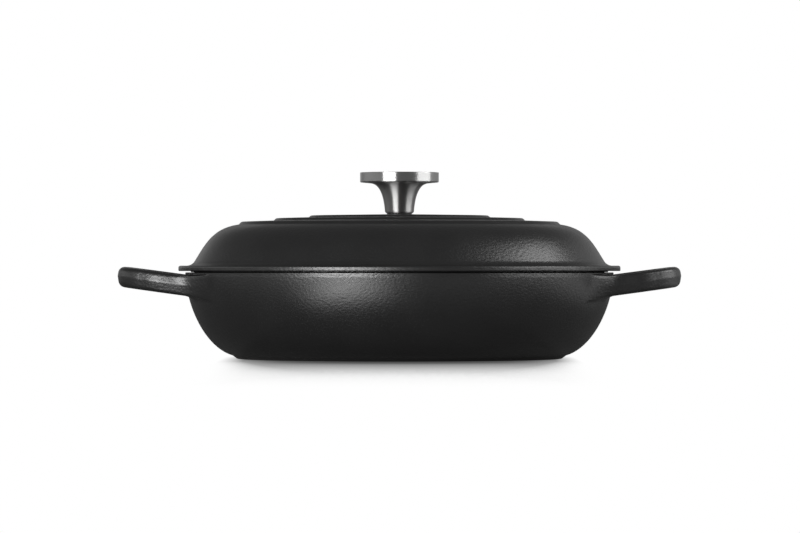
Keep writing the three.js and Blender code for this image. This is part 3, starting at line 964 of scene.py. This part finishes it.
def flat_ring(inner, low, high, edge):
    outline = ring_outline(inner, low, high, edge)
    return guarded(np.vstack([outline, outline[:1]]))[:-1]


class BuildKnob(Operator):
    """Builds the knob: gasket, flared stem and cap, and finishes the insert inside it"""

    bl_idname = "cast_iron_pot.build_knob"
    bl_label = "Knob"

    def execute(self, context):
        settings = context.scene.cast_iron_pot
        knob, finish = settings.knob, settings.finish
        polished = steel("polished_stem", finish.polished)
        brushed = steel("brushed_cap", finish.brushed)
        fibre = finished("pressed_fibre", dull_fibre, finish)
        gasket = flat_ring(settings.lid.hole_radius, GASKET_LOW, GASKET_HIGH, knob.washer_edge)
        for name, profile, material, slot, node in (
            ("knob_gasket_ring", gasket, fibre, "seat_gasket", "knob_gasket"),
            ("knob_flared_stem", stem_profile(knob), polished, "polished_steel", "knob_stem"),
            ("knob_brushed_cap", cap_profile(knob), brushed, "brushed_steel", "knob_cap"),
        ):
            points, index = turned(profile, KNOB_COLUMNS)
            piece = new_piece(name, points, quads_between(index), [material])
            place_piece(piece, "lid", slot, node)
        for material_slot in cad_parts["knob_insert"].material_slots:
            material_slot.material = steel("plain_steel", finish.plain)
        return {"FINISHED"}


# Fastening

SCREW_COLUMNS = 144
FACE_ROWS = 44
THREAD_ROWS = 200


def spring_ring(knob, inner):
    """The split washer: a rectangle with rounded edges carried round the axis from one side of the split to
    the other. Both ends lean with height, so that the split slants."""
    outline = ring_outline(inner, SPRING_LOW, SPRING_HIGH, knob.washer_edge)
    radius, height = outline.T
    lean = (height - (SPRING_LOW.z + SPRING_HIGH.z) / 2) * math.tan(knob.split_lean)
    start = np.arcsin((knob.split / 2 + lean) / radius)
    end = TURN + np.arcsin((lean - knob.split / 2) / radius)
    shares = np.linspace(0, 1, SCREW_COLUMNS)[:, None]
    rings = round_axis(radius, start + shares * (end - start), height)
    caps = rings[[0, -1]].mean(1)
    points = np.concatenate([rings.reshape(-1, 3), caps])
    numbers = np.arange(rings.shape[0] * rings.shape[1]).reshape(rings.shape[:2])
    first = np.full((1, len(outline)), numbers.size)
    index = np.vstack([first, numbers, first + 1])
    return points, quads_between(index)[..., ::-1]


def screw_surface(knob):
    """The screw as a height and radius at each point of a grid of rows and angles. The head's underside is
    a flat disc, sunk where the point lies inside the cross. The shank's radius follows a triangle wave of
    the height less the angle's share of the pitch, which fades at both of its ends."""
    head = SCREW_HIGH.x
    low, shoulder, tip = SCREW_LOW.z, SCREW_LOW.z + knob.head_height, SCREW_HIGH.z
    disc = head - knob.head_edge
    shank = knob.shank_radius
    soft, chamfer = 0.3 * MM, 0.7 * MM
    face = np.stack([np.linspace(0, disc, FACE_ROWS, endpoint=False), np.full(FACE_ROWS, low)], 1)
    corners = [
        (disc / 2, low, 0),
        (head, low, knob.head_edge),
        (head, shoulder, soft),
        (shank, shoulder, soft),
        (shank, shoulder + 2 * MM, 0),
    ]
    edge = rounded(corners)[1:-1]
    climb = np.linspace(shoulder + 2 * soft, tip - chamfer, THREAD_ROWS)
    thread = np.stack([np.full(THREAD_ROWS, shank), climb], 1)
    end = np.array([(shank - chamfer, tip), (0, tip)])
    profile = np.concatenate([face, guarded(edge), thread, end])
    points, index = turned(profile, SCREW_COLUMNS)

    x, y, z = points.T
    row = np.repeat(np.arange(len(profile)), SCREW_COLUMNS)

    def inside(across, along):
        gap = np.minimum(knob.recess_width / 2 - np.abs(across), knob.recess_length / 2 - np.abs(along))
        return np.clip(gap / soft + 0.5, 0, 1)

    taper = 0.35 * np.clip(np.hypot(x, y) / (knob.recess_length / 2), 0, 1)
    depth = np.maximum(inside(x, y), inside(y, x)) * knob.recess_depth * (1 - taper)
    z = np.where(row < len(face), z + depth, z)

    first_row = len(profile) - len(thread) - len(end)
    on_thread = (row >= first_row) & (row < first_row + len(thread))
    angle = np.tile(np.arange(SCREW_COLUMNS) / SCREW_COLUMNS, len(profile))
    wave = np.abs((z / knob.thread_pitch - angle) % 1 * 2 - 1)
    fade = np.clip((z - climb[0]) / MM, 0, 1) * np.clip((climb[-1] - z) / MM, 0, 1)
    shrink = 1 - on_thread * wave * fade * knob.thread_depth / shank
    return np.stack([x * shrink, y * shrink, z], 1), quads_between(index)


class BuildFastening(Operator):
    """Builds the screw and the two washers that hold the knob from inside the lid"""

    bl_idname = "cast_iron_pot.build_fastening"
    bl_label = "Fastening"

    def execute(self, context):
        settings = context.scene.cast_iron_pot
        knob, hole = settings.knob, settings.lid.hole_radius
        plain = steel("plain_steel", settings.finish.plain)
        ring, index = turned(flat_ring(hole, WASHER_LOW, WASHER_HIGH, knob.washer_edge), SCREW_COLUMNS)
        for name, (points, quads), node in (
            ("knob_flat_washer", (ring, quads_between(index)), "flat_washer"),
            ("knob_spring_washer", spring_ring(knob, hole), "spring_washer"),
            ("knob_pan_screw", screw_surface(knob), "knob_screw"),
        ):
            piece = new_piece(name, points, quads, [plain])
            place_piece(piece, "lid", "fastener_steel", node)
        return {"FINISHED"}


# Studio

# Painted floor shadow: ambient occlusion values and the floor tones that they paint.
SHADOW_STOPS = (0.5, 0.71, 0.85, 0.93, 0.96, 0.976, 0.985)
SHADOW_TONES = (0.08, 0.25, 0.38, 0.56, 0.77, 0.97, 1)
WHITE = (1, 1, 1)


def ray_kinds(tree):
    """Whether a ray comes from the camera, and whether it comes from a reflection or through glass."""
    path = result(tree, "LightPath", {}).node.outputs
    return path["Is Camera Ray"], any_of(tree, path["Is Glossy Ray"], path["Is Transmission Ray"])


def painted_floor_shadow(tree, studio):
    """The painted shadow that the floor's colour takes round the pot. The share of ambient occlusion rays
    that miss the pot, mapped through a ramp of tones, stands in for a soft low light. The rays look towards
    the back, and outwards where the floor lies beside the pot: their axis is (2 s^7, 1, 0.1), with s the
    distance to the right over the shadow's half width. Outside a core, which narrows with the distance in
    front of the pot, the painted shadow is filled in, and it fades out further on."""
    x, y, _ = split_place(tree, object_place(tree))
    aside = times(tree, x, 1 / studio.shadow_width)
    squared = times(tree, aside, aside)
    cubed = times(tree, squared, aside)
    occlusion_axis = result(tree, "CombineXYZ", {"X": times(tree, squared, squared, cubed, 2), "Y": 1, "Z": 0.1})
    direction = result(tree, "VectorMath", {0: occlusion_axis}, operation="NORMALIZE")
    inputs = {"Distance": studio.shadow_reach, "Normal": direction}
    painted_shadow_ramp = result(tree, "ValToRGB", {"Fac": result(tree, "AmbientOcclusion", inputs, "AO", samples=48)})
    elements = painted_shadow_ramp.node.color_ramp.elements
    while len(elements) < len(SHADOW_TONES):
        elements.new(0.5)
    for element, stop, tone in zip(elements, SHADOW_STOPS, SHADOW_TONES):
        element.position = stop
        element.color = (tone, tone, tone, 1)
    painted_shadow_core = between(tree, y, 0, 0.85, from_low=-0.55, from_high=-0.1)
    painted_shadow_fill = between(tree, squared, 0, 1, from_low=painted_shadow_core, from_high=1.14)
    painted_shadow_end = between(tree, y, 1, 0, from_low=-0.82, from_high=-0.45)
    return between(tree, any_of(tree, painted_shadow_fill, painted_shadow_end), painted_shadow_ramp, 1, from_low=0, from_high=1)


def painted_glow(tree, centre, bright, dim, near, far):
    """Painted brightness of the floor round a spot, which goes from the centre's value to the value further
    out.
    """
    gap = result(tree, "VectorMath", {0: object_place(tree), 1: centre}, "Value", operation="DISTANCE")
    return between(tree, gap, bright, dim, from_low=near, from_high=far)


def add_floor(studio):
    """A pale floor that the camera sees white, apart from a painted shadow of the pot: white emission whose
    strength is the painted shadow's tone, not a shadow cast by the lamps. Reflections show a dim floor with
    painted pools of light below the front and low lamps, painted shade near the pot and a brighter floor
    further out."""
    mesh = bpy.data.meshes.new("studio_floor")
    reach = 60.0
    corners = [(-reach, -reach, 0), (reach, -reach, 0), (reach, reach, 0), (-reach, reach, 0)]
    mesh.from_pydata(corners, [], [(0, 1, 2, 3)])
    floor = bpy.data.objects.new("studio_floor", mesh)
    bpy.context.scene.collection.objects.link(floor)
    material, tree, shader = new_material("studio_floor")
    mesh.materials.append(material)
    painted_lit = painted_floor_shadow(tree, studio)
    camera, mirrored = ray_kinds(tree)
    # Painted pools of light below the front and low lamps, and painted shade near the pot that gives way to
    # a brighter floor further out.
    painted_front_glow = painted_glow(tree, (-0.104, -0.285, 0), studio.painted_floor_glow, studio.floor_lift, near=0.02, far=0.11)
    painted_side_glow = painted_glow(tree, (0.46, 0, 0), studio.painted_side_glow, studio.floor_lift, near=0.05, far=0.24)
    painted_far_glow = painted_glow(tree, (0, 0.25, 0), studio.floor_lift, studio.floor_far, near=0.42, far=0.6)
    # The painted glows are dimmed near the pot by a softened copy of the painted shadow.
    painted_glows = times(tree, any_of(tree, painted_front_glow, painted_side_glow, painted_far_glow), between(tree, painted_lit, 0.55, 1))
    inputs = {
        "Base Color": (studio.floor_tone, studio.floor_tone, studio.floor_tone, 1),
        "Roughness": 1,
        "Specular IOR Level": 0,
        "Emission Color": (*WHITE, 1),
        "Emission Strength": times(tree, mirrored, painted_glows),
    }
    feed(tree, shader, inputs)
    # The camera sees the floor as white emission, darkened where the shadow is painted.
    white = result(tree, "Emission", {"Strength": painted_lit})
    choice = result(tree, "MixShader", {"Fac": camera, 1: shader.outputs["BSDF"], 2: white})
    feed(tree, tree.nodes["Material Output"], {"Surface": choice})


def add_world(studio):
    """A pale backdrop round the sides and behind the pot, which fades upwards and has a tone of its own on
    each side, a card on the left, and dim light all round. The camera sees white instead, and only
    reflections show the backdrop and the card."""
    world = bpy.data.worlds.new("studio")
    world.use_nodes = True
    bpy.context.scene.world = world
    tree = world.node_tree
    x, y, z = split_place(tree, result(tree, "TexCoord", {}, "Generated"))
    aside = between(tree, y, 0, 1, from_low=-0.72, from_high=-0.5)
    left = between(tree, y, 0.2, 0.5, from_low=0.75, from_high=0.97)
    right = between(tree, y, 0.72, 0.3, from_low=0.1, from_high=0.85)
    sides = between(tree, x, left, right, from_low=-0.3, from_high=0.3)
    leaning = maths(tree, "MULTIPLY_ADD", x, -0.12, z)
    low = between(tree, leaning, 1, 0, from_low=0.2, from_high=0.45)
    card = between(tree, x, studio.card, 0, from_low=-0.9, from_high=-0.55)
    above = between(tree, z, 0, 1, from_low=0.07, from_high=0.17)
    below = between(tree, z, 1, 0, from_low=0.28, from_high=0.42)
    backdrop = any_of(tree, times(tree, sides, aside, low), times(tree, card, above, below))
    camera, mirrored = ray_kinds(tree)
    white = any_of(tree, times(tree, backdrop, mirrored), camera)
    dim = (studio.ambient,) * 3
    feed(tree, tree.nodes["Background"], {"Color": mixed(tree, white, dim, WHITE), "Strength": 1})


def add_softbox(name, watts, size, azimuth, elevation, distance):
    """A rectangular lamp that faces the pot. Azimuth 0 is towards the camera, and grows to the right."""
    data = bpy.data.lights.new(name, "AREA")
    data.shape = "RECTANGLE"
    data.size, data.size_y = size
    data.energy = watts
    lamp = bpy.data.objects.new(name, data)
    turn, climb = math.radians(azimuth), math.radians(elevation)
    aim = 70 * MM
    lamp.location = (
        distance * math.sin(turn) * math.cos(climb),
        -distance * math.cos(turn) * math.cos(climb),
        aim + distance * math.sin(climb),
    )
    lamp.rotation_euler = (math.pi / 2 - climb, 0, turn)
    lamp.visible_camera = False
    bpy.context.scene.collection.objects.link(lamp)


def add_camera(studio):
    """A level camera with a long lens. It sees the frame's width at the pot's axis."""
    data = bpy.data.cameras.new("camera")
    data.sensor_width = 36
    data.lens = data.sensor_width * studio.distance / studio.frame_width
    data.clip_end = 50
    camera = bpy.data.objects.new("camera", data)
    camera.location = (studio.eye_side, -studio.distance, studio.eye_height)
    camera.rotation_euler = (math.pi / 2, 0, 0)
    bpy.context.scene.collection.objects.link(camera)
    bpy.context.scene.camera = camera


class BuildStage(Operator):
    """Builds the floor, the background, the lamps and the camera"""

    bl_idname = "cast_iron_pot.build_stage"
    bl_label = "Stage"

    def execute(self, context):
        studio = context.scene.cast_iron_pot.studio
        add_camera(studio)
        add_floor(studio)
        add_world(studio)
        add_softbox("front_softbox", studio.front_power, (1, 0.6), azimuth=-29.5, elevation=7, distance=1.6)
        add_softbox("side_softbox", studio.side_power, (1.3, 0.5), azimuth=84, elevation=34, distance=1.5)
        add_softbox("low_softbox", studio.low_power, (1.3, 0.45), azimuth=78, elevation=8, distance=1.5)
        context.scene.view_settings.view_transform = "Standard"
        return {"FINISHED"}


# Panel and registration


class CastIronPotPanel(Panel):
    """Lists the pieces and their settings"""

    bl_idname = "VIEW3D_PT_cast_iron_pot"
    bl_label = "Cast Iron Pot"
    bl_space_type = "VIEW_3D"
    bl_region_type = "UI"
    bl_category = "Cast Iron Pot"

    def draw(self, context):
        settings = context.scene.cast_iron_pot
        for operator, groups in (
            (BuildStage, (settings.studio,)),
            (BuildPot, (settings.pot, settings.handle)),
            (BuildLid, (settings.lid,)),
            (BuildKnob, (settings.knob, settings.finish)),
            (BuildFastening, ()),
        ):
            box = self.layout.box()
            box.operator(operator.bl_idname)
            for group in groups:
                for name in group.bl_rna.properties.keys():
                    if name not in ("rna_type", "name"):
                        box.prop(group, name)


GROUPS = (PotSizes, HandleSizes, LidSizes, KnobSizes, Finishes, StudioSettings, CastIronPot)
OPERATORS = (BuildStage, BuildPot, BuildLid, BuildKnob, BuildFastening)
CLASSES = (*GROUPS, *OPERATORS, CastIronPotPanel)


def register():
    for cls in CLASSES:
        bpy.utils.register_class(cls)
    bpy.types.Scene.cast_iron_pot = PointerProperty(type=CastIronPot)


def unregister():
    del bpy.types.Scene.cast_iron_pot
    for cls in reversed(CLASSES):
        bpy.utils.unregister_class(cls)


def main():
    register()
    bpy.ops.cast_iron_pot.build_stage()
    bpy.ops.cast_iron_pot.build_pot()
    bpy.ops.cast_iron_pot.build_lid()
    bpy.ops.cast_iron_pot.build_knob()
    bpy.ops.cast_iron_pot.build_fastening()


if __name__ == "__main__":
    main()
